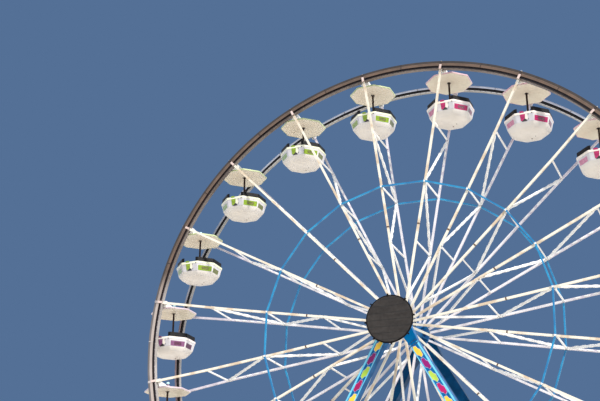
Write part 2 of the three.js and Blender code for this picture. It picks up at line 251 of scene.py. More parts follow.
def place(name, mesh, body, slot, at=None, bevel=0.0):
    """An object that rides on a body. A bevel rounds its hard edges by that much."""
    piece = new_object(name, mesh)
    if at is not None:
        piece.matrix_world = at
    if bevel:
        soften(piece, bevel)
    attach(piece, body)
    return piece


def add_piece(name, shape, materials, body, slot, sharp=35, bevel=0.0):
    """A piece of its own mesh, drawn where it stands."""
    return place(name, mesh_of(name, shape, materials, sharp), body, slot, bevel=bevel)


def soften(piece, width, segments=2):
    edges = piece.modifiers.new("soft_edges", "BEVEL")
    edges.width = width
    edges.segments = segments
    edges.limit_method = "ANGLE"
    edges.angle_limit = radians(40)
    edges.harden_normals = True


def refinish(name, material, width, segments=2):
    """Gives a kept node its finish and soft edges."""
    for held in nodes[name].material_slots:
        held.material = material
    if not nodes[name].material_slots:
        nodes[name].data.materials.append(material)
    soften(nodes[name], width, segments)


# Finishes: colours are given as on a screen, 0 to 255

def shade(colour):
    """A colour as linear light."""
    parts = [value / 255 for value in colour]
    return (*[part / 12.92 if part <= 0.04045 else ((part + 0.055) / 1.055) ** 2.4 for part in parts], 1.0)


class Finish:
    """A material, and short calls that add its nodes."""

    def __init__(self, name, shine=0.5, **sockets):
        self.material = bpy.data.materials.new(name)
        self.material.use_nodes = True
        self.tree = self.material.node_tree
        self.shader = self.tree.nodes["Principled BSDF"]
        self.shader.inputs["Specular IOR Level"].default_value = shine
        for socket, value in sockets.items():
            self.shader.inputs[socket.replace("_", " ").title()].default_value = value
        self.place = self.node("TexCoord", {}, output="Object")

    def node(self, kind, inputs, output=0, **settings):
        made = self.tree.nodes.new("ShaderNode" + kind)
        for name, value in settings.items():
            setattr(made, name, value)
        for name, value in inputs.items():
            if isinstance(value, bpy.types.NodeSocket):
                self.tree.links.new(value, made.inputs[name])
            else:
                made.inputs[name].default_value = value
        return made.outputs[output]

    def stretched(self, scale):
        return self.node("Mapping", {"Vector": self.place, "Scale": scale})

    def noise(self, scale, detail, where=None):
        inputs = {"Vector": where or self.place, "Scale": scale, "Detail": detail}
        return self.node("TexNoise", inputs, output="Fac")

    def between(self, value, low, high, to_low=0.0, to_high=1.0):
        """The value, moved from one range to another and kept in it."""
        inputs = {"Value": value, "From Min": low, "From Max": high, "To Min": to_low, "To Max": to_high}
        return self.node("MapRange", inputs)

    def math(self, operation, first, second):
        return self.node("Math", {0: first, 1: second}, operation=operation)

    def mix(self, factor, first, second):
        """Two colours mixed. Each is a colour as on a screen, or the output of a node."""
        first, second = [shade(part) if isinstance(part, tuple) else part for part in (first, second)]
        return self.node("Mix", {0: factor, 6: first, 7: second}, output=2, data_type="RGBA")

    def patches(self, scale, detail, low, high, first, second):
        """Two colours in patches of noise."""
        return self.mix(self.between(self.noise(scale, detail), low, high), first, second)

    def axis(self, name):
        return self.node("SeparateXYZ", {0: self.place}, output=name)

    def weathered(self, colour, dirt, amount):
        """Soft patches and thin downward streaks of dirt over a colour."""
        streaks = self.noise(6.0, 5.0, self.stretched((1.0, 1.0, 0.12)))
        both = self.math("MULTIPLY", self.between(streaks, 0.45, 0.75),
                        self.between(self.noise(1.3, 4.0), 0.35, 0.7))
        return self.mix(self.math("MULTIPLY", both, amount), colour, dirt)

    def link(self, value, socket):
        self.tree.links.new(value, self.shader.inputs[socket])

    def done(self, colour, rough, height, depth):
        """Links the colour, a bump, and a roughness given as noise scale, detail, low and high."""
        scale, detail, low, high = rough
        self.link(colour, "Base Color")
        self.link(self.between(self.noise(scale, detail), 0.3, 0.7, low, high), "Roughness")
        self.link(self.node("Bump", {"Height": height, "Distance": depth}), "Normal")
        return self.material


GRIME = (70, 62, 52)


def paint(name, colour, second, dirt=GRIME, amount=0.3, roughness=0.38, coat=0.25, shine=0.5):
    """Brushed gloss paint in two close shades, with dirt and a fine orange peel."""
    made = Finish(name, shine, coat_weight=coat, coat_roughness=0.2)
    two = made.patches(2.1, 4.0, 0.38, 0.62, colour, second)
    rough = (5.0, 4.0, roughness - 0.08, roughness + 0.14)
    return made.done(made.weathered(two, dirt, amount), rough, made.noise(90.0, 2.0), 0.0006)


def spoke_paint():
    """Cream with tan patches on the front chords, white braces, lilac white on the rear chords."""
    made = Finish("spoke_paint", coat_weight=0.2, coat_roughness=0.25)
    front = made.patches(1.4, 5.0, 0.50, 0.62, (244, 236, 218), (216, 194, 166))
    white = made.patches(3.0, 4.0, 0.4, 0.65, (254, 253, 250), (236, 233, 231))
    lilac = made.patches(2.2, 4.0, 0.4, 0.6, (228, 222, 232), (206, 198, 210))
    depth = made.axis("Y")
    is_front = made.between(depth, -CHORD_Y + CHORD * 0.6, -CHORD_Y + CHORD * 0.4)
    is_rear = made.between(depth, CHORD_Y - CHORD * 0.6, CHORD_Y - CHORD * 0.4)
    clean = made.mix(is_rear, made.mix(is_front, white, front), lilac)
    rough = (7.0, 4.0, 0.32, 0.55)
    return made.done(made.weathered(clean, GRIME, 0.18), rough, made.noise(80.0, 2.0), 0.0006)


def rim_paint(name, colour, second, left_lit, left_lit_second):
    """Rim paint in two close shades with fine lines along the rim, and painted light and shade: low on the left it
    turns to a second pair of tones for how the sun falls there.
    """
    made = Finish(name, coat_weight=0.15, coat_roughness=0.3)
    flat = made.node("VectorMath", {0: made.place, 1: (0.0, 0.0, -HUB.z)}, operation="ADD")
    flat = made.node("VectorMath", {0: flat, 1: (1.0, 0.0, 1.0)}, operation="MULTIPLY")
    radius = made.node("VectorMath", {0: flat}, output="Value", operation="LENGTH")
    lines = made.node("Math", {0: made.math("MULTIPLY", radius, 96.0)}, operation="SINE")
    share = made.math("ADD", made.math("MULTIPLY", lines, 0.12), made.noise(1.6, 5.0))
    share = made.between(share, 0.4, 0.62)
    new = made.mix(share, colour, second)
    left_lit_tone = made.mix(share, left_lit, left_lit_second)
    # Painted light and shade: this mask, low on the left, is where the sun falls on the rim's inner faces
    low = made.between(made.axis("Z"), HUB.z + 3.7, HUB.z + 1.9)
    left = made.between(made.axis("X"), -6.0, -9.0)
    both = made.mix(made.math("MULTIPLY", low, left), new, left_lit_tone)
    rough = (6.0, 4.0, 0.34, 0.6)
    return made.done(made.weathered(both, GRIME, 0.3), rough, made.noise(70.0, 3.0), 0.0008)


def gel_coat(name, colour, second, coat=0.4, shine=0.5):
    """Moulded glass fibre: smooth gloss, a little uneven in shade, dull where it is worn."""
    made = Finish(name, shine, coat_weight=coat, coat_roughness=0.12)
    two = made.patches(0.9, 2.0, 0.35, 0.65, colour, second)
    worn = made.math("MULTIPLY", made.between(made.noise(2.6, 5.0), 0.55, 0.75), 0.1)
    rough = (8.0, 4.0, 0.24, 0.42)
    return made.done(made.mix(worn, two, (150, 136, 122)), rough, made.noise(25.0, 2.0), 0.0004)


def vinyl(name, colour, second):
    """Black padded vinyl with a leather grain."""
    made = Finish(name, 0.2)
    two = made.patches(9.0, 4.0, 0.35, 0.7, colour, second)
    cells = made.node("TexVoronoi", {"Vector": made.place, "Scale": 160.0}, feature="DISTANCE_TO_EDGE")
    grain = made.math("ADD", cells, made.noise(60.0, 3.0))
    return made.done(two, (12.0, 3.0, 0.42, 0.6), grain, 0.0009)


def steel(name, colour, second, roughness=0.4):
    """Turned or plated steel with fine scratches and a little rust."""
    made = Finish(name, metallic=0.9)
    rust = made.math("MULTIPLY", made.between(made.noise(18.0, 6.0), 0.6, 0.72), 0.5)
    two = made.patches(30.0, 3.0, 0.35, 0.65, colour, second)
    scratches = made.noise(120.0, 3.0, made.stretched((1.0, 0.08, 1.0)))
    rough = (40.0, 4.0, roughness - 0.1, roughness + 0.15)
    return made.done(made.mix(rust, two, (120, 72, 42)), rough, scratches, 0.0004)


def plastic(name, colour, second, roughness=0.25):
    """Moulded plastic, for lamp caps, knobs and panels."""
    made = Finish(name, coat_weight=0.4, coat_roughness=0.1)
    two = made.patches(14.0, 3.0, 0.35, 0.65, colour, second)
    return made.done(two, (25.0, 3.0, roughness - 0.05, roughness + 0.12), made.noise(140.0, 1.0), 0.0003)


def mesh_fabric():
    """Dark woven shade mesh, dusty in soft broad patches, with thin near-black lines of painted shade along its
    folds.
    """
    made = Finish("cover_fabric", sheen_weight=0.08, sheen_roughness=0.6)
    dust = made.between(made.noise(1.5, 4.0, made.stretched((1.0, 1.0, 2.6))), 0.35, 0.7)
    dusty = made.mix(dust, (32, 26, 24), (46, 40, 37))
    inputs = {"Vector": made.place, "Scale": 1.1, "Distortion": 2.2, "Detail": 1.0, "Detail Scale": 0.7}
    crease_lines = made.node("TexWave", inputs, output="Fac", bands_direction="Z")
    # Painted shade: thin near-black lines where the folds would be in shadow
    crease_shaded = made.mix(made.between(crease_lines, 0.93, 1.0, 0.0, 0.8), dusty, (12, 10, 10))
    across, along = [made.node("TexWave", {"Vector": made.place, "Scale": 42.0}, output="Fac",
                               bands_direction=way) for way in "XZ"]
    return made.done(crease_shaded, (8.0, 3.0, 0.75, 0.95), made.math("MULTIPLY", across, along), 0.0015)


def tread_plate():
    """Aluminium plate with raised bars that lean both ways."""
    made = Finish("deck_plate", metallic=0.75)
    two = made.patches(4.0, 5.0, 0.35, 0.65, (170, 172, 176), (132, 134, 140))
    turned = made.node("Mapping", {"Vector": made.place, "Rotation": (0.0, 0.0, pi / 4)})
    bricks = made.node("TexBrick", {"Vector": turned, "Scale": 26.0, "Mortar Size": 0.03}, output="Fac")
    bars = made.math("SUBTRACT", 1.0, bricks)
    return made.done(made.weathered(two, (74, 68, 60), 0.6), (9.0, 4.0, 0.34, 0.6), bars, 0.002)


WHITE = paint("white_paint", (254, 253, 250), (238, 236, 233), amount=0.15)
LAMP = plastic("lamp_cap", (255, 254, 250), (244, 243, 240))
BOLT = steel("bolt_steel", (120, 118, 114), (88, 86, 84))
DARK = paint("dark_paint", (38, 34, 38), (58, 50, 52), roughness=0.5)
CLAMP = paint("clamp_brown", (112, 84, 60), (84, 62, 46), roughness=0.5)
VINYL = vinyl("black_vinyl", (12, 11, 13), (24, 22, 25))
BROWN = plastic("brown_table", (112, 66, 36), (78, 46, 28), 0.35)
POLE_PAINT = paint("pole_paint", (58, 36, 24), (38, 25, 20), coat=0.0, shine=0.2)
KNOB = plastic("knob_cyan", (206, 240, 240), (176, 220, 226))
CREAM = gel_coat("cream_shell", (226, 212, 196), (208, 190, 172))
UNDERSIDE = gel_coat("tub_underside", (236, 230, 224), (222, 215, 208), 0.0, 0.15)
# The canopy underside's warm near-white colour is partly painted light, adding to the warm light bounced up from
# the floor
CANOPY_UNDER = gel_coat("canopy_underside", (255, 247, 229), (252, 239, 220), 0.0, 0.1)

# Bright, deep and pale shades, then the two close shades of the dull and of the soft panels
TUB_COLOURS = {
    "green": ((146, 174, 34), (124, 152, 28), (236, 242, 196),
              ((120, 124, 60), (96, 100, 50)), ((152, 176, 112), (132, 158, 100))),
    "purple": ((140, 88, 128), (120, 70, 110), (240, 226, 226),
               ((98, 48, 78), (82, 38, 64)), ((176, 146, 172), (156, 126, 154))),
    "magenta": ((196, 36, 104), (160, 26, 84), (244, 222, 222),
                ((136, 84, 98), (110, 66, 80)), ((210, 140, 170), (190, 120, 150))),
    "yellow": ((242, 200, 62), (222, 174, 40), (244, 236, 200),
               ((150, 132, 78), (126, 110, 64)), ((220, 196, 120), (202, 178, 106))),
    "blue": ((56, 140, 206), (36, 112, 180), (208, 226, 238),
             ((86, 104, 124), (70, 86, 104)), ((130, 170, 204), (112, 152, 188))),
}

# Two close shades, then the two painted in low on the left for how the sun falls there. On the front rim the brown
# is painted shade and the pale pair is painted sunlight; on the rear rim the second pair is darker, painted shade
RIM_SHADES = {
    "front_rim_plate": ((116, 92, 76), (91, 74, 62), (194, 180, 172), (178, 164, 156)),
    "front_rim_lip": ((66, 56, 51), (52, 45, 41), (116, 110, 110), (96, 92, 94)),
    "front_rim_rail": ((96, 80, 68), (78, 66, 58), (140, 128, 128), (116, 106, 108)),
    "front_rim_under": ((128, 116, 110), (108, 98, 94), (176, 170, 166), (152, 146, 142)),
    "front_rim_band": ((60, 45, 39), (48, 36, 32), (212, 202, 200), (196, 186, 184)),
    "rear_rim_plate": ((174, 177, 190), (152, 155, 170), (156, 138, 142), (136, 118, 124)),
    "rear_rim_lip": ((178, 181, 192), (156, 159, 172), (156, 138, 142), (136, 118, 124)),
    "rear_rim_rail": ((198, 194, 192), (180, 176, 173), (160, 146, 148), (140, 126, 130)),
}


# Tubs

def octagon(radius, z, rounding=0.1):
    """A ring of points on an octagon with rounded corners, flats facing X and Y."""
    points = []
    steps = 4
    middle = radius - rounding / FLAT
    for corner in range(8):
        towards = pi / 8 + corner * pi / 4
        for step in range(steps + 1):
            angle = towards - pi / 8 + step * pi / 4 / steps
            points.append(vec(middle * cos(towards) + rounding * cos(angle),
                              middle * sin(towards) + rounding * sin(angle), z))
    return points


def facing(flat):
    """The outward and sideways directions of one of the eight flats, counted from +X."""
    angle = flat * pi / 4
    return vec(cos(angle), sin(angle), 0), vec(-sin(angle), cos(angle), 0)


def wall_point(flat, across, z, proud=0.0):
    """A point on the tub's sloping wall, standing proud of it."""
    out, side = facing(flat)
    share = (z - WAIST_Z) / (TUB_RIM_Z - WAIST_Z)
    radius = (WAIST + (TUB_RIM - WAIST) * share) * FLAT
    return out * (radius + proud) + side * across + vec(0, 0, z)


def wall_panel(shape, flat, corners, proud, material):
    """A thin plate on a flat of the wall, given its corners as sideways place and height."""
    shape.loft([[wall_point(flat, across, z, rise) for across, z in corners] for rise in (-0.004, proud)],
               material)


def tub_shell_shape():
    """The moulded shell: rolled rim with a pale trim band, sloping walls, rounded underside and a well."""
    shape = Shape()
    outside = [(0.985, -1.60), (0.99, -1.572), (1.03, -1.562), (1.072, -1.566), (1.086, -1.582),
               (1.086, -1.625), (1.078, -1.665), (1.062, -1.672), (0.985, -1.965), (0.985, -1.98),
               (0.972, -2.005), (0.957, -2.035), (0.93, -2.075), (0.86, -2.155), (0.80, -2.203),
               (0.74, -2.228), (0.60, -2.262), (0.52, -2.27), (0.36, -2.272)]
    trim_rows, wall_rows = 7, 10
    rings = [octagon(radius, z, min(0.1 + 0.25 * (1.08 - radius), 0.2)) for radius, z in outside]
    shape.loft(rings[:trim_rows + 1], 1, first_cap=False, last_cap=False)
    shape.loft(rings[trim_rows:wall_rows + 1], 0, first_cap=False, last_cap=False)
    shape.loft(rings[wall_rows:], 8, first_cap=False)
    inside = [(0.985, -1.60), (0.94, BENCH_Z), (BENCH_INNER + 0.03, BENCH_Z + 0.002),
              (BENCH_INNER, BENCH_Z - 0.02), (WELL, FLOOR_Z + 0.03), (WELL - 0.03, FLOOR_Z)]
    shape.loft([octagon(radius, z) for radius, z in inside], 2, first_cap=False)
    tub_door(shape)
    tub_panels(shape)
    tub_drains(shape)
    return shape


def tub_door(shape):
    """The front flat: a tall colour board at the left, a dark foot, and the pale door with its hinges."""
    out = facing(ENTRY)[0]
    outline = ((-0.16, -1.95), (0.01, -1.95), (0.04, -1.66), (-0.03, -1.53), (-0.18, -1.53), (-0.19, -1.62))
    board = [wall_point(ENTRY, across, z) - out * 0.004 for across, z in outline]
    shape.prism(board, out * 0.018, 3)
    # The pale strip just right of the colour board is a painted highlight along the board's edge
    wall_panel(shape, ENTRY, [(0.02, -1.90), (0.15, -1.90), (0.15, -1.60), (0.05, -1.60)], 0.012, 1)
    wall_panel(shape, ENTRY, [(-0.13, -1.985), (0.12, -1.985), (0.06, -1.895), (0.0, -1.87)], 0.020, 4)
    wall_panel(shape, ENTRY, [(0.17, -1.99), (0.385, -1.99), (0.40, -1.60), (0.17, -1.60)], 0.012, 0)
    for height in (-1.70, -1.90):
        low, high = [wall_point(ENTRY, 0.175, height + reach, 0.02) for reach in (-0.03, 0.03)]
        shape.rod(low, high, 0.010, 10, 5)
    shape.box(wall_point(ENTRY, 0.34, -1.66, 0.016), 0.025, 0.012, 0.015, 5)


def tub_panels(shape):
    """Plain colour panels on the other flats: long with a dull middle, all dull, or all soft."""
    low, high = -1.985, -1.755
    middle_low, middle_high = low + 0.045, high - 0.045
    for flat in (7, 3, 1):
        wall_panel(shape, flat, [(-0.33, low), (0.32, low), (0.33, high), (-0.34, high)], 0.010, 3)
        wall_panel(shape, flat, [(-0.16, middle_low), (0.16, middle_low), (0.17, middle_high),
                                 (-0.17, middle_high)], 0.013, 6)
    for flat in (0, 4):
        wall_panel(shape, flat, [(-0.35, -1.995), (0.14, -1.995), (0.15, -1.795), (-0.36, -1.795)], 0.010, 6)
    for flat in (5, 2):
        wall_panel(shape, flat, [(-0.29, -1.975), (0.24, -1.975), (0.25, -1.765), (-0.30, -1.765)], 0.010, 9)


def tub_drains(shape):
    """Two drain plugs under the floor, as low round caps."""
    for x, y, radius, height, material in ((0.02, 0.30, 0.03, 0.018, 7), (0.22, 0.10, 0.024, 0.015, 5)):
        profile = [(radius * wide, height * rise) for wide, rise in
                   ((1, 0), (1, 0.35), (0.88, 0.7), (0.5, 0.95), (0.08, 1))]
        shape.turned((x, y, BASE_Z), (0, 0, -1), profile, 12, material)


def pad_shape(low_width, high_width, height, thickness):
    """A closed pad: a flat back in the plane of X and Z, and a crowned front towards -Y."""
    def point(i, j, front):
        u, v = i / PAD_COLUMNS, j / PAD_ROWS
        width = low_width + (high_width - low_width) * v
        edge_u = 1 - abs(2 * u - 1) ** 5
        edge_v = 1 - abs(2 * v - 1) ** 5
        rise = thickness * (edge_u * edge_v) ** 0.45 if front else 0.0
        return vec((u - 0.5) * width, -rise, v * height)

    grid = [(i, j) for j in range(PAD_ROWS + 1) for i in range(PAD_COLUMNS + 1)]
    points = [point(i, j, True) for i, j in grid]
    front = {spot: number for number, spot in enumerate(grid)}
    back = {}
    for i, j in grid:
        if i in (0, PAD_COLUMNS) or j in (0, PAD_ROWS):
            back[i, j] = front[i, j]
        else:
            back[i, j] = len(points)
            points.append(point(i, j, False))
    cells = [(i, j) for i, j in grid if i < PAD_COLUMNS and j < PAD_ROWS]
    faces = [[front[i, j], front[i + 1, j], front[i + 1, j + 1], front[i, j + 1]] for i, j in cells]
    faces += [[back[i, j], back[i, j + 1], back[i + 1, j + 1], back[i + 1, j]] for i, j in cells]
    return points, faces


def inflated(points, faces, sewn):
    """The pad swollen by cloth pressure. Its seam and its sewn channels stay pinned."""
    mesh = bpy.data.meshes.new("pad_form")
    mesh.from_pydata([tuple(point) for point in points], [], faces)
    piece = new_object("pad_form", mesh)
    pinned = piece.vertex_groups.new(name="sewn")
    pinned.add([i for i, point in enumerate(points) if abs(point.y) < 1e-6] + sewn, 1.0, "REPLACE")
    cloth = piece.modifiers.new("cloth", "CLOTH")
    cloth.settings.vertex_group_mass = "sewn"
    cloth.settings.use_pressure = True
    cloth.settings.uniform_pressure_force = 4.0
    cloth.settings.effector_weights.gravity = 0.0
    cloth.settings.quality = 6
    for number in range(1, 21):
        scene.frame_set(number)
    shown = piece.evaluated_get(bpy.context.evaluated_depsgraph_get())
    swollen = []
    for before, vertex in zip(points, shown.data.vertices):
        moved = vertex.co - before
        if moved.length > PAD_SWELL:
            moved = moved.normalized() * PAD_SWELL
        swollen.append(before + moved)
    scene.frame_set(1)
    bpy.data.objects.remove(piece)
    bpy.data.meshes.remove(mesh)
    return swollen


def pad(low_width, high_width, height, thickness, channels):
    """A padded cushion with that many sewn channels, as points and faces."""
    points, faces = pad_shape(low_width, high_width, height, thickness)
    lines = [round(PAD_COLUMNS * (k + 1) / (channels + 1)) for k in range(channels)]
    sewn = [i for i, point in enumerate(points) if i % (PAD_COLUMNS + 1) in lines and point.y < -1e-6]
    for i in sewn:
        points[i].y *= 0.55
    points = inflated(points, faces, sewn)
    return points, faces


def backs_shape(back_pad, narrow_pad):
    """Padded backs round the tub, each with a shell behind. The entry has a narrow one each side."""
    shape = Shape()
    radius = BACK_OUTER * FLAT
    low, high = vec(0, 0, TUB_RIM_Z - 0.03), vec(0, 0, BACK_TOP - 0.004)
    for flat in range(8):
        out, side = facing(flat)
        turn = Matrix((side, out, (0, 0, 1))).transposed()
        outer = out * (radius + 0.006)
        entry = [(-0.345, narrow_pad, 0.045), (0.345, narrow_pad, 0.045)]
        for sideways, (points, faces), half in entry if flat == ENTRY else [(0.0, back_pad, 0.385)]:
            foot = out * (radius - 0.022) + side * sideways + vec(0, 0, BENCH_Z + 0.06)
            shape.add([turn @ point + foot for point in points], faces)
            left, right = side * (sideways - half), side * (sideways + half)
            outline = [outer + left + low, outer + right + low, outer + right + high, outer + left + high]
            shape.prism(outline, -out * 0.03)
    return shape


def seats_shape(seat_pad):
    """Seven wedge cushions on the bench, open at the entry."""
    shape = Shape()
    points, faces = seat_pad
    for flat in range(8):
        if flat == ENTRY:
            continue
        out, side = facing(flat)
        turn = Matrix((side, (0, 0, -1), out)).transposed()
        foot = out * (BENCH_INNER * FLAT + 0.02) + vec(0, 0, BENCH_Z + 0.001)
        shape.add([turn @ point + foot for point in points], faces)
    return shape


def canopy_shape():
    """The moulded roof: a low cone above, a fascia, and a hollow underside with sixteen thin ribs."""
    shape = Shape()
    above = [(0.09, CANOPY_TOP), (0.30, CANOPY_TOP - 0.012), (0.70, -0.125), (1.02, -0.156),
             (1.06, -0.166)]
    fascia = [(1.06, -0.166), (CANOPY_RADIUS, -0.174), (CANOPY_RADIUS + 0.002, -0.22), (1.066, -0.231),
              (1.04, -0.233)]
    under = [(1.04, -0.233), (1.022, -0.226), (1.00, -0.216), (0.60, -0.202), (0.12, -0.190)]
    for profile, material in ((above, 2), (fascia, 1), (under, 0)):
        rings = [octagon(radius, z, 0.06) for radius, z in profile]
        shape.loft(rings, material, first_cap=profile is above, last_cap=profile is under)
    for rib in range(16):
        out, side = facing(rib / 2)
        start = out * 0.12 + vec(0, 0, -0.190)
        end = out * (0.93 if rib % 2 else 0.88) + vec(0, 0, -0.213)
        half = 0.009 if rib % 2 else 0.006
        shape.block((start + end) / 2, (end - start) / 2, side * half, vec(0, 0, 0.0025))
    shape.turned((0, 0, -0.215), (0, 0, 1), [(0.07, 0), (0.085, 0.008), (0.085, 0.03)], 24, 3)
    return shape


def tub_frame_shape():
    """The pole, the bearer with its saddles, pins and hanging plates, the finial, the cone and the wheel."""
    shape = Shape()
    pole = [(0.07, 0), (0.07, 0.012), (POLE, 0.03), (POLE, 2.05), (0.06, 2.10), (0.06, 2.14)]
    shape.turned((0, 0, FLOOR_Z), (0, 0, 1), pole, 20)
    end = BEARER_END
    bearer = [(0.055, 0), (BEARER, 0.012), (BEARER, 2 * end - 0.012), (0.055, 2 * end)]
    shape.turned((0, -end, 0), (0, 1, 0), bearer, 20, 1)
    pin = [(PIN * 0.8, 0), (PIN, 0.01), (PIN, 2 * PIN_END - 0.01), (PIN * 0.8, 2 * PIN_END)]
    shape.turned((0, -PIN_END, 0), (0, 1, 0), pin, 16, 2)
    collar = [(0.085, 0), (0.09, 0.008), (0.09, 0.05), (0.085, 0.058)]
    saddle = [(1.08, 0.085), (1.08, -0.14), (1.0, -0.172), (0.6, -0.125), (0.42, -0.06), (0.42, 0.05)]
    plate = [(-0.19, -0.172), (0.19, -0.172), (0.07, 0.115), (-0.07, 0.115)]
    for side in (-1, 1):
        shape.turned((0, side * 0.94 - 0.029, 0), (0, 1, 0), collar, 20, 2)
        shape.prism([vec(-0.13, side * y, z) for y, z in saddle], vec(0.26, 0, 0), 1)
        shape.prism([vec(x, side * 1.065, z) for x, z in plate], vec(0, side * 0.018, 0), 1)
    clamp = [(0.1, 0), (0.11, 0.02), (0.11, 0.11), (0.095, 0.14), (0.08, 0.16)]
    finial = [(0.085, 0), (0.1, 0.01), (0.07, 0.035), (0.05, 0.06), (0.045, 0.07)]
    globe = [(0.045 + 0.03 * sin(pi * k / 8), 0.07 + 0.055 * (1 - cos(pi * k / 8))) for k in range(8)]
    cone = [(0.16, 0), (0.155, 0.06), (0.10, 0.14), (0.06, 0.24), (0.05, 0.30)]
    for foot, profile, sides, material in ((-0.085, clamp, 20, 1), (0.07, finial, 20, 3),
                                           (0.07, globe + [(0.02, 0.182)], 20, 4),
                                           (TUB_RIM_Z - 0.05, cone, 28, 5)):
        shape.turned((0, 0, foot), (0, 0, 1), profile, sides, material)
    shape.hoop((0, 0, -1.56), (0, 0, 1), 0.26, 0.016, 36, 8, 2)
    for corner in (1, 3, 5, 7):
        out = facing(corner)[0]
        shape.rod(out * 0.14 + vec(0, 0, -1.565), out * 0.26 + vec(0, 0, -1.56), 0.011, 8, 2)
    return shape


def make_tubs():
    back_pad = pad(0.72, 0.74, 0.465, 0.045, 3)
    narrow_pad = pad(0.085, 0.085, 0.465, 0.035, 0)
    seat_pad = pad(0.40, 0.66, 0.37, 0.055, 2)
    forms = {
        "shell": (tub_shell_shape(), 35),
        "backs": (backs_shape(back_pad, narrow_pad), 60),
        "seats": (seats_shape(seat_pad), 60),
        "canopy": (canopy_shape(), 35),
        "frame": (tub_frame_shape(), 40),
    }
    meshes = {}
    for colour, (bright, deep, pale, dull, soft) in TUB_COLOURS.items():
        wall = gel_coat(f"wall_{colour}", (222, 218, 220), (206, 202, 206))
        trim = gel_coat(f"trim_{colour}", pale, (248, 242, 226))
        panel = plastic(f"panel_{colour}", bright, deep)
        middle = plastic(f"panel_middle_{colour}", *dull)
        tint = plastic(f"panel_tint_{colour}", *soft)
        roof = gel_coat(f"roof_{colour}", pale, (236, 232, 222))
        fascia = gel_coat(f"fascia_{colour}", pale, soft[0])
        finishes = {
            "shell": [wall, trim, CREAM, panel, DARK, BOLT, middle, BROWN, UNDERSIDE, tint],
            "backs": [VINYL],
            "seats": [VINYL],
            "canopy": [CANOPY_UNDER, fascia, roof, DARK],
            "frame": [POLE_PAINT, WHITE, BOLT, panel, KNOB, BROWN],
        }
        for kind, (shape, sharp) in forms.items():
            meshes[colour, kind] = mesh_of(f"tub_{kind}_{colour}", shape, finishes[kind], sharp)
    for number, pivot in zip(NUMBERS, PIVOTS):
        slot = slot_of[f"gondola_{number}"]
        for kind in forms:
            mesh = meshes[slot.removeprefix("gondola_"), kind]
            piece = place(f"tub_{kind}_{number}", mesh, f"tub_{number}", slot, Matrix.Translation(pivot))
            if kind == "shell":
                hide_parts(f"gondola_{number}")


# Spokes' fittings: drawn with the spoke along X, then turned to each spoke's angle

def lamp(shape, start, end, out):
    """A flat white lamp with a long oval outline, between two points on a bar's face."""
    middle, along = (start + end) / 2, (end - start) / 2
    across = along.cross(out).normalized() * LAMP_HALF_WIDTH
    turns = [2 * pi * k / 14 for k in range(14)]
    rings = [[middle + out * LAMP_HEIGHT * rise + (along * cos(turn) + across * sin(turn)) * share
              for turn in turns] for share, rise in ((1.0, 0.0), (1.0, 0.45), (0.8, 0.85), (0.45, 1.0))]
    shape.loft(rings, 1)


def brace_ends(leaning):
    signs = (leaning, -leaning, leaning, -leaning)
    points = [vec(radius, sign * y, 0) for (radius, y), sign in zip(BRACE_NODES, signs)]
    return list(zip(points, points[1:]))


def brace_lamps(shape, leaning):
    """Rows of lamps on both faces of the middle and outer braces."""
    pitch, length, first = 0.43, 0.31, 0.40
    for start, end in brace_ends(leaning)[1:]:
        along = (end - start).normalized()
        count = int(((end - start).length - 2 * first) / pitch) + 1
        for out in (vec(0, 0, -1), vec(0, 0, 1)):
            for k in range(count):
                foot = start + along * (first + k * pitch) + out * (BRACE / 2)
                lamp(shape, foot, foot + along * length, out)


def gussets(shape, leaning):
    """Plates on both faces where the braces reach a chord, with their bolts."""
    for start, end in brace_ends(leaning):
        for joint, away in ((start, 1), (end, -1)):
            if joint.x < 2:
                continue
            inward = -copysign(1, joint.y)
            corners = ((-0.02, -0.035), (0.18, -0.035), (0.18, 0.02), (0.08, 0.10), (-0.02, 0.08))
            for out in (vec(0, 0, -1), vec(0, 0, 1)):
                face = joint + out * (CHORD / 2)
                outline = [face + vec(away * x, inward * y, 0) for x, y in corners]
                shape.prism(outline, out * 0.01)
                for along in (0.03, 0.13):
                    shape.bolt(face + vec(away * along, 0, 0) + out * 0.01, out, 0.011, 2)


def chord_at(radius, rim):
    """How far a chord's middle line stands from the wheel's middle plane."""
    stations = [(SPOKE_START, CHORD_Y), (MIDDLE_RUNG, CHORD_Y), (OUTER_RUNG, CHORD_Y_OUTER),
                (rim["inner"], CHORD_Y_RIM)]
    for (low, near), (high, far) in zip(stations, stations[1:]):
        if radius <= high:
            return near + (far - near) * (radius - low) / (high - low)
    return CHORD_Y_RIM


def chord_details(shape):
    """A brown clamp on the front chord, and the clips that hold the tie rings."""
    centre = vec(CLAMP_AT, -CHORD_Y, 0)
    half = CHORD / 2 + 0.007
    shape.box(centre, 0.03, half, half, 3)
    for face in (-1, 1):
        shape.bolt(centre + vec(0, 0, face * half), (0, 0, face), 0.011, 2)
    for side in (-1, 1):
        tie = vec(MIDDLE_RUNG - TIE / 2, side * (CHORD_Y + CHORD / 2 + TIE + 0.005), 0)
        shape.box(tie, 0.055, 0.005, 0.035)
        for face in (-1, 1):
            shape.bolt(tie + vec(face * 0.042, side * 0.005, 0), (0, side, 0), 0.009, 2)


def rear_chord_lamps(shape):
    """Lamps on the rear chord's inner face between the middle and outer rungs."""
    start, finish, pitch = 6.85, 7.13, 0.39
    for k in range(6):
        foot, end = [vec(x + k * pitch, chord_at(x + k * pitch, RIMS["rear"]) - CHORD / 2, 0)
                     for x in (start, finish)]
        lamp(shape, foot, end, vec(0, -1, 0))


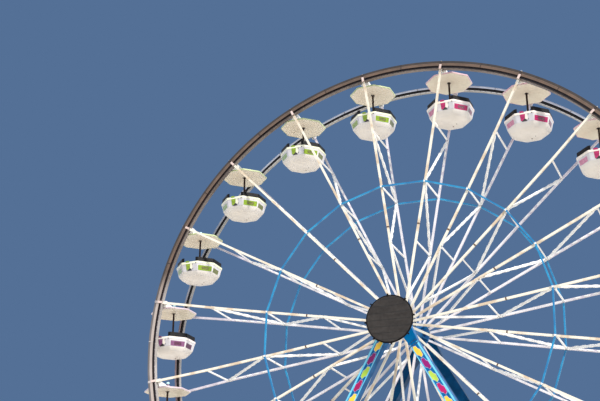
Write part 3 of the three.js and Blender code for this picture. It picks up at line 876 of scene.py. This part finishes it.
def rim_joints(shape):
    """White plates where each chord meets its rim, and the plates that the tubs hang from."""
    for rim in RIMS.values():
        side, end = rim["side"], rim["inner"]
        for face in (-1, 1):
            out = vec(0, 0, face)
            centre = vec(end, side * CHORD_Y_RIM, 0) + out * (CHORD / 2)
            corners = ((-0.22, -0.065), (0.02, -0.05), (0.02, 0.05), (-0.20, 0.03))
            shape.prism([centre + vec(x, side * y, 0) for x, y in corners], out * 0.012)
            for along in (-0.15, -0.05):
                shape.bolt(centre + vec(along, 0, 0) + out * 0.012, out, 0.013, 2)
        hanger = vec(PIVOT_RADIUS - 0.03, side * (RIM_NEAR - 0.012), 0)
        corners = ((-0.25, -0.10), (-0.18, -0.12), (0.13, -0.085), (0.13, 0.085), (-0.18, 0.12),
                   (-0.25, 0.10))
        shape.prism([hanger + vec(x, 0, z) for x, z in corners], vec(0, side * 0.010, 0))
        for along, across in ((0.105, -0.06), (0.105, 0.06), (-0.20, -0.07), (-0.20, 0.07)):
            shape.bolt(hanger + vec(along, 0, across), (0, -side, 0), 0.011, 2)


def make_spokes():
    finish = spoke_paint()
    variants = []
    for variant, leaning in (("a", -1), ("b", 1)):
        shape = Shape()
        brace_lamps(shape, leaning)
        gussets(shape, leaning)
        chord_details(shape)
        rear_chord_lamps(shape)
        rim_joints(shape)
        variants.append(mesh_of(f"spoke_fittings_{variant}", shape, [WHITE, LAMP, BOLT, CLAMP]))
    for i, (number, angle) in enumerate(zip(NUMBERS, ANGLES)):
        at = Matrix.Translation(HUB) @ Matrix.Rotation(-angle, 4, "Y")
        place(f"spoke_fittings_{number}", variants[i % 2], "wheel", "spoke_paint", at)
        refinish(f"spoke_{number}", finish, 0.008, 1)


# Rims

def on_wheel(angle, radius, y):
    return vec(HUB.x + radius * cos(angle), y, HUB.z + radius * sin(angle))


def round_wheel(angle):
    """The outward and the sideways direction at an angle round the axle."""
    out = vec(cos(angle), 0, sin(angle))
    return out, vec(-out.z, 0, out.x)


def rim_band(rim):
    """The rim turned as a true circle: outer plate with its lips, black recess, and inner rail."""
    plate, lip, rail, recess, under = range(5)
    near, far, proud = RIM_NEAR, rim["far"], 0.005
    web_near, web_far = (near + far) / 2 - RIM_WEB, (near + far) / 2 + RIM_WEB
    inner, foot, outer = rim["inner"], rim["foot"], rim["outer"]
    top, edge = inner + RIM_RAIL, outer - rim["lip"]
    walls = [(inner, near, under), (inner, far, rail), (top, far, recess), (top, web_far, recess),
             (foot, web_far, recess), (foot, far, plate), (edge, far, lip), (edge, far + proud, lip),
             (outer, far + proud, lip), (outer, near - proud, lip), (edge, near - proud, lip),
             (edge, near, plate), (foot, near, recess), (foot, web_near, recess),
             (top, web_near, recess), (top, near, rail)]
    shape = Shape()
    section = [(radius, height) for radius, height, _ in walls]
    shape.ring(HUB, (0, rim["side"], 0), section, 240, [material for _, _, material in walls])
    return shape


def rim_fittings(rim):
    """Joint bands and front posts at the spokes, thin seams between, knobs, and the inner rail's studs."""
    shape = Shape()
    side, inner, foot, outer = rim["side"], rim["inner"], rim["foot"], rim["outer"]
    band, rail = (foot + outer) / 2, inner + RIM_RAIL / 2
    half_band = (outer - foot) / 2 - 0.002
    knob = [(0.026, 0), (0.034, 0.008), (0.026, 0.03), (0.012, 0.038)]
    for angle in ANGLES:
        for y, towards in ((RIM_NEAR, -side), (rim["far"], side)):
            outward = vec(0, towards, 0)
            for turn, half in ((angle, BAND_HALF), (angle + STEP / 2, SEAM_HALF)):
                out, along = round_wheel(turn)
                centre = on_wheel(turn, band, side * y)
                shape.block(centre + outward * 0.004, along * half, out * half_band, outward * 0.005)
                if turn == angle and half_band > 0.06:
                    for spot in (-0.06, 0.06):
                        shape.bolt(centre + outward * 0.009 + out * spot, outward, 0.011, 1)
            for k in range(STUDS):
                turn = angle + (k + 0.5) * STEP / STUDS
                out, along = round_wheel(turn)
                centre = on_wheel(turn, rail, side * y)
                shape.block(centre + outward * 0.002, along * 0.022, out * 0.009, outward * 0.003)
        out, along = round_wheel(angle)
        if side < 0:
            post = on_wheel(angle, inner + 0.10, side * (rim["far"] + 0.011))
            shape.block(post, along * 0.05, out * 0.11, vec(0, 0.014, 0), 3)
        for y in (RIM_NEAR + 0.04, rim["far"] - 0.04):
            shape.turned(on_wheel(angle, outer - 0.004, side * y), out, knob, 10, 2)
    return shape


def make_rims():
    knob = plastic("rim_knob", (214, 206, 190), (186, 176, 160))
    post = paint("rim_post", (236, 214, 206), (216, 190, 180), amount=0.2)
    finishes = {name: rim_paint(name, *shades) for name, shades in RIM_SHADES.items()}
    for name, first, second, others in (
        ("front_rim_recess", (26, 14, 22), (38, 26, 32), {"roughness": 0.5}),
        ("rear_rim_recess", (12, 8, 14), (20, 15, 21), {"roughness": 0.6, "coat": 0.0}),
        ("rear_rim_under", (182, 178, 173), (164, 160, 156), {"roughness": 0.45}),
        ("rear_rim_band", (120, 114, 112), (96, 92, 92), {"roughness": 0.5}),
    ):
        finishes[name] = paint(name, first, second, **others)
    for end, rim in RIMS.items():
        *turned, band = [finishes[f"{end}_rim_{part}"]
                         for part in ("plate", "lip", "rail", "recess", "under", "band")]
        slot = f"{end}_rim_paint"
        ring = add_piece(f"{end}_rim_band", rim_band(rim), turned, "wheel", slot, bevel=0.003)
        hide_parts(f"{end}_rim")
        add_piece(f"{end}_rim_fittings", rim_fittings(rim), [band, BOLT, knob, post], "wheel", slot)


def make_tie_rings():
    blue = paint("tie_paint", (28, 146, 196), (16, 116, 172), (20, 52, 90))
    refinish("front_tie_ring", blue, 0.01)
    refinish("rear_tie_ring", blue, 0.01)


# Hub, axle and hub cover

def hub_details():
    """Flange bolts between the chords, ribs behind the flanges, and bolts on the noses."""
    shape = Shape()
    back = FLANGE_BACK + 0.002
    corners = ((HUB_DRUM - 0.02, back), (HUB_FLANGE - 0.02, back), (HUB_FLANGE - 0.02, back - 0.05),
               (HUB_DRUM - 0.02, back - 0.42))
    for side in (-1, 1):
        out = vec(0, side, 0)
        for i, angle in enumerate(ANGLES):
            shape.bolt(on_wheel(angle + STEP / 2, FLANGE_BOLTS, side * FLANGE_FACE), out, 0.013, 1)
            if i % 2 == 0:
                across = round_wheel(angle)[1]
                outline = [on_wheel(angle, radius, side * y) - across * 0.01 for radius, y in corners]
                shape.prism(outline, across * 0.02)
        for k in range(10):
            shape.bolt(on_wheel(k * pi / 5, NOSE_BOLTS, side * NOSE_Y), out, 0.014, 1)
    return shape


def make_hub():
    blue = paint("hub_paint", (10, 112, 172), (6, 88, 146), amount=0.4)
    refinish("hub", blue, 0.01)
    add_piece("hub_details", hub_details(), [blue, BOLT], "wheel", "hub_paint")
    axle = steel("axle_steel", (132, 132, 134), (104, 104, 108), 0.35)
    refinish("axle", axle, 0.008)
    cap = Shape()
    cap.turned((HUB.x, AXLE_REAR - 0.02, HUB.z), (0, 1, 0),
               [(0.155, 0), (0.155, 0.03), (0.13, 0.042), (0.03, 0.046)], 32)
    for k in range(6):
        cap.bolt(on_wheel(k * pi / 3, 0.09, AXLE_REAR + 0.022), (0, 1, 0), 0.012, 1)
    add_piece("axle_cap", cap, [axle, BOLT], "support", "axle_steel")


def cover_sheet_shape():
    """The mesh sheet: dished between its ties, with long soft wrinkles."""
    shape = Shape()
    rings, segments = 40, 144
    middle = vec(COVER_CENTRE.x, SHEET_Y, COVER_CENTRE.z)
    points = []
    faces = []
    for ring in range(rings + 1):
        share = ring / rings
        for k in range(segments):
            angle = 2 * pi * k / segments
            scallop = 1 - 0.012 * share ** 6 * abs(sin(TIES / 2 * (angle - TIE_TURN)))
            radius = SHEET_RADIUS * share * scallop
            x, z = radius * cos(angle), radius * sin(angle)
            fold = 1 - abs(sin(11 * z + 1.4 * sin(2.3 * x + 1)))
            wrinkle = 0.009 * fold ** 2 * (0.6 + 0.4 * sin(3 * x + 5 * z))
            wrinkle += 0.003 * sin(19 * z - 5 * x) * sin(3.1 * x)
            slack = 0.022 * (1 - share ** 2)
            edge = min(1.0, (1 - share) * 8)
            points.append(middle + vec(x, slack - wrinkle * edge, z))
    for inner in range(0, rings * segments, segments):
        outer = inner + segments
        for k in range(segments):
            after = (k + 1) % segments
            if inner:
                faces.append([inner + k, outer + k, outer + after, inner + after])
            else:
                faces.append([inner, outer + k, outer + after])
    shape.add(points, faces)
    return shape


def cover_frame_shape():
    """The tubular hoop, its four arms from the axle's end, and the eight ties."""
    shape = Shape()
    middle = vec(COVER_CENTRE.x, HOOP_Y, COVER_CENTRE.z)
    radius = COVER_RADIUS - 0.031
    shape.hoop(middle, (0, 1, 0), radius, HOOP, 96, 12)
    axle_end = vec(HUB.x, AXLE_FRONT, HUB.z)
    shape.turned(axle_end + vec(0, 0.1, 0), (0, -1, 0), [(0.2, 0), (0.2, 0.09), (0.19, 0.102)], 24, 1)
    for k in range(TIES):
        out, along = round_wheel(TIE_TURN + 2 * pi * k / TIES)
        rim = middle + out * radius
        if k % 2 == 0:
            shape.rod(axle_end + vec(0, 0.03, 0), rim, 0.018, 10, 1)
        shape.block(rim + out * HOOP - vec(0, 0.004, 0), out * 0.06, along * 0.03, vec(0, 0.034, 0))
    return shape


def make_cover():
    fabric = mesh_fabric()
    black = paint("hoop_black", (13, 12, 13), (22, 20, 20), roughness=0.65, coat=0.0, shine=0.1)
    sheet = add_piece("cover_sheet", cover_sheet_shape(), [fabric], "support", "cover_fabric", 80)
    thick = sheet.modifiers.new("thickness", "SOLIDIFY")
    thick.thickness = 0.002
    hoop = add_piece("cover_frame", cover_frame_shape(), [black, BOLT], "support", "cover_fabric",
                     bevel=0.004)
    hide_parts("front_hub_cover")


# A-frames

def on_leg(side, along, inset, y):
    """A point on a leg: side -1 or 1, how far down from the hub's height, and in from its outer edge."""
    sine, cosine = sin(LEG_LEAN), cos(LEG_LEAN)
    x = LEG_EDGE + sine * along - cosine * inset
    return vec(side * x, y, HUB.z - cosine * along - sine * inset)


def leg_end(inset):
    return (HUB.z - SILL_TOP - sin(LEG_LEAN) * inset) / cos(LEG_LEAN)


def leg_plate(shape, side, outline, y, thickness, material):
    """A flat plate on a leg, given its corners as how far down and in from the outer edge."""
    shape.prism([on_leg(side, along, inset, y) for along, inset in outline], vec(0, thickness, 0), material)


def leg_panels(shape, side, face_side):
    """Leaf-like colour plates down a leg's outer face, each on a pale backing, and the edge strips."""
    face = face_side * LEG_FACE
    top = LEG_START if side > 0 else LEG_START - 0.32
    pitch, start = 0.61, top + (0.12 if side > 0 else -0.04)
    leaf = ((0.02, 0.08), (0.05, -0.03), (0.18, -0.05), (0.27, -0.11), (0.52, -0.10), (0.58, 0),
            (0.46, 0.04), (0.40, 0.105), (0.18, 0.11))
    for k in range(int((leg_end(LEG_WIDTH) - 0.25 - start) / pitch)):
        near, middle = start + k * pitch, 0.205 if k % 2 else 0.232
        outline = [(near + along, middle + across) for along, across in leaf]
        leg_plate(shape, side, grown(outline, 0.022), face, face_side * 0.004, 5)
        leg_plate(shape, side, outline, face, face_side * 0.008, 1 + k % 4)
    # The light-blue edge strips are trim; the wide outer one also stands in for a right leg's sunlit side face, a
    # painted highlight
    for inset, half in ((0.042, 0.037), (LEG_WIDTH - 0.024, 0.018)):
        low, high = top + 0.02, leg_end(inset) - 0.02
        strip = [(low, inset - half), (high, inset - half), (high, inset + half), (low, inset + half)]
        leg_plate(shape, side, strip, face, face_side * 0.006, 0)


def grown(outline, amount):
    """The outline, moved outward from its middle."""
    middle = [sum(values) / len(outline) for values in zip(*outline)]
    moved = []
    for along, across in outline:
        away = Vector((along - middle[0], across - middle[1]))
        away *= 1 + amount / away.length
        moved.append((middle[0] + away.x, middle[1] + away.y))
    return moved


def leg_fixings(shape, side, face_side):
    """Bolted splice collars, and the foot plate with its bolts."""
    inner_y = face_side * (LEG_FACE - LEG_DEPTH / 2)
    foot = on_leg(side, leg_end(LEG_WIDTH / 2), LEG_WIDTH / 2, inner_y)
    plate = vec(foot.x, inner_y, SILL_TOP + 0.015)
    shape.box(plate, 0.36, LEG_DEPTH / 2, 0.0148, 6)
    for x in (-0.31, 0.31):
        for y in (-0.15, 0, 0.15):
            shape.bolt(plate + vec(x, y, 0.015), (0, 0, 1), 0.02, 7)
    for station in SPLICES:
        for edge, reach in ((0.0, -0.018), (LEG_WIDTH, 0.018)):
            centre = on_leg(side, station, edge + reach / 2, inner_y)
            along = on_leg(side, station + 0.14, edge + reach / 2, inner_y) - centre
            across = on_leg(side, station, edge + reach, inner_y) - centre
            shape.block(centre, along, across, vec(0, LEG_DEPTH / 2 - 0.02, 0), 6)
            for spot in (-0.7, 0.7):
                for y in (-0.13, 0.13):
                    shape.bolt(centre + along * spot + across + vec(0, y, 0), across, 0.016, 7)


def bearing_shape(face_side):
    """The clamped axle seat on a head: a flanged ring, its bolts, and joint bars at the right leg."""
    shape = Shape()
    for outward in (-1, 1):
        y = face_side * (LEG_FACE - (0 if outward == face_side else LEG_DEPTH))
        out = vec(0, outward, 0)
        for k in range(10):
            shape.bolt(on_wheel(2 * pi * k / 10, 0.27, y) + out * 0.04, out, 0.02, 1)
        seat = [(0.166, 0.0), (0.315, 0.0), (0.315, 0.03), (0.303, 0.04), (0.166, 0.04)]
        shape.ring((HUB.x, y, HUB.z), out, seat, 40, [0] * len(seat))
    y = face_side * LEG_FACE
    for along in (LEG_START - 0.09, LEG_START + 0.05):
        corners = [(along, 0.02), (along + 0.05, 0.02), (along + 0.05, LEG_WIDTH - 0.02),
                   (along, LEG_WIDTH - 0.02)]
        leg_plate(shape, 1, corners, y, face_side * 0.014, 0)
        for inset in (0.06, 0.15, 0.24, 0.33):
            spot = on_leg(1, along + 0.025, inset, y + face_side * 0.014)
            shape.bolt(spot, (0, face_side, 0), 0.015, 1)
    return shape


def make_legs():
    blue = paint("leg_paint", (0, 107, 170), (0, 86, 146), (14, 40, 70), coat=0.05, shine=0.15)
    # The rear legs and head take a darker copy of the front blue: painted shade
    navy = paint("rear_leg_shaded_blue", (0, 66, 110), (0, 54, 92), (8, 34, 56), coat=0.0, shine=0.1)
    colours = [paint(name, first, second, coat=coat, shine=shine) for name, first, second, coat, shine in (
        # Light-blue edge trim, also used as a painted highlight for a sunlit side face
        ("edge_trim_and_highlight", (128, 218, 244), (100, 200, 234), 0.4, 0.5),
        ("panel_amber", (255, 216, 74), (246, 198, 56), 0.2, 0.5),
        ("panel_plum", (146, 14, 112), (122, 6, 92), 0.2, 0.3),
        ("panel_lime", (196, 220, 84), (166, 198, 62), 0.2, 0.5),
        ("panel_rose", (188, 12, 102), (162, 4, 86), 0.2, 0.3),
        ("panel_outline", (176, 190, 226), (148, 168, 212), 0.4, 0.5),
    )]
    for end, face_side, finish in (("front", -1, blue), ("rear", 1, navy)):
        for hand, side in (("left", -1), ("right", 1)):
            name = f"{end}_{hand}_leg"
            refinish(name, finish, 0.012)
            shape = Shape()
            leg_panels(shape, side, face_side)
            leg_fixings(shape, side, face_side)
            add_piece(f"{name}_panels", shape, [*colours, finish, BOLT], "support", "leg_paint")
        refinish(f"{end}_head", finish, 0.012)
        add_piece(f"{end}_bearing", bearing_shape(face_side), [finish, BOLT], "support", "leg_paint")


# Base and deck

def base_shape():
    """Sill joint plates, tie-down lugs on the cross beams, and their bolts."""
    shape = Shape()
    for side_y in (-1, 1):
        for face in (-1, 1):
            y = side_y * (LEG_FACE - LEG_DEPTH / 2) + face * LEG_DEPTH / 2
            out = vec(0, face, 0)
            for x in (-5.6, -2.9, 2.9, 5.6):
                centre = vec(x, y, (SILL_FOOT + SILL_TOP) / 2)
                shape.block(centre + out * 0.006, vec(0.16, 0, 0), out * 0.006, vec(0, 0, 0.13))
                for dx in (-0.11, 0.11):
                    for dz in (-0.09, 0.09):
                        shape.bolt(centre + vec(dx, 0, dz) + out * 0.012, out, 0.015, 1)
    for name in ("left_cross_beam", "right_cross_beam"):
        low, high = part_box(name)
        middle = (low + high) / 2
        for y in (-2.75, 2.75):
            for dx in (-0.2, 0.2):
                shape.bolt(vec(middle.x + dx, y, high.z), (0, 0, 1), 0.028, 1)
        for y in (-1.2, 0.0, 1.2):
            for face in (-1, 1):
                spot = vec(middle.x + face * (high.x - low.x) / 2, y, 0.1)
                shape.box(spot + vec(face * 0.02, 0, 0), 0.02, 0.05, 0.06)
    return shape


def make_base():
    navy = paint("base_paint", (36, 74, 122), (26, 56, 98), (66, 58, 48), amount=0.6)
    for name in ("front_sill", "rear_sill", "left_cross_beam", "right_cross_beam"):
        refinish(name, navy, 0.014)
    add_piece("base_fixings", base_shape(), [navy, BOLT], "support", "base_paint")


def make_deck():
    refinish("loading_deck", tread_plate(), 0.008)
    shape = Shape()
    low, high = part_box("loading_deck")
    for y, z in ((low.y, RISE), (low.y + TREAD, 2 * RISE), (low.y + 2 * TREAD, high.z)):
        corners = ((-0.006, -0.05), (-0.006, 0.006), (0.05, 0.006), (0.05, 0), (0, 0), (0, -0.05))
        shape.prism([vec(low.x, y + dy, z + dz) for dy, dz in corners], vec(high.x - low.x, 0, 0))
    for row in range(1, 4):
        y = low.y + 2 * TREAD + row * (high.y - low.y - 2 * TREAD) / 4
        shape.box(vec(0, y, high.z + 0.001), high.x - 0.01, 0.02, 0.003)
        for k in range(13):
            x = low.x + 0.12 + k * (high.x - low.x - 0.24) / 12
            shape.bolt(vec(x, y, high.z + 0.004), (0, 0, 1), 0.009, 1)
    edge = paint("nosing_paint", (226, 190, 60), (198, 160, 44), amount=0.7, roughness=0.5)
    add_piece("deck_nosings", shape, [edge, BOLT], "support", "deck_plate")


# Stage

def make_camera():
    ahead = vec(-sin(CAMERA_YAW) * cos(CAMERA_PITCH), cos(CAMERA_YAW) * cos(CAMERA_PITCH), sin(CAMERA_PITCH))
    level = vec(cos(CAMERA_YAW), sin(CAMERA_YAW), 0)
    upright = level.cross(ahead)
    right = level * cos(CAMERA_ROLL) + upright * sin(CAMERA_ROLL)
    up = upright * cos(CAMERA_ROLL) - level * sin(CAMERA_ROLL)
    camera = new_object("camera", bpy.data.cameras.new("camera"))
    camera.data.lens = CAMERA_LENS
    camera.data.clip_end = 400
    camera.matrix_world = Matrix.Translation(CAMERA_AT) @ Matrix((right, up, -ahead)).transposed().to_4x4()
    scene.camera = camera


def make_lights():
    sun = new_object("key_light", bpy.data.lights.new("key_light", "SUN"))
    sun.data.energy = SUN_ENERGY
    sun.data.angle = radians(6)
    sun.data.color = (1.0, 0.96, 0.9)
    sun.rotation_mode = "QUATERNION"
    sun.rotation_quaternion = SUN_TOWARDS.to_track_quat("-Z", "Y")


def make_world():
    """A plain muted blue-grey backdrop, and soft near-white light from all round."""
    world = bpy.data.worlds.new("studio")
    scene.world = world
    world.use_nodes = True
    tree = world.node_tree
    tree.nodes.clear()
    shown, light = [tree.nodes.new("ShaderNodeBackground") for _ in range(2)]
    shown.inputs["Color"].default_value = shade((84, 112, 150))
    light.inputs["Color"].default_value = (0.80, 0.88, 1.0, 1.0)
    light.inputs["Strength"].default_value = 0.8
    path = tree.nodes.new("ShaderNodeLightPath")
    mix = tree.nodes.new("ShaderNodeMixShader")
    output = tree.nodes.new("ShaderNodeOutputWorld")
    tree.links.new(path.outputs["Is Camera Ray"], mix.inputs[0])
    tree.links.new(light.outputs[0], mix.inputs[1])
    tree.links.new(shown.outputs[0], mix.inputs[2])
    tree.links.new(mix.outputs[0], output.inputs[0])


def make_floor():
    shape = Shape()
    shape.turned((0, 0, -0.02), (0, 0, 1), [(70, 0), (70, 0.018)], 96)
    made = Finish("floor_pale", roughness=0.8)
    made.link(made.mix(made.noise(0.4, 3.0), (236, 228, 214), (226, 218, 204)), "Base Color")
    new_object("floor", mesh_of("floor", shape, [made.material]))


scene.view_settings.view_transform = "Standard"
make_camera()
make_lights()
make_world()
make_floor()
make_tubs()
make_spokes()
make_rims()
make_tie_rings()
make_hub()
make_cover()
make_legs()
make_base()
make_deck()
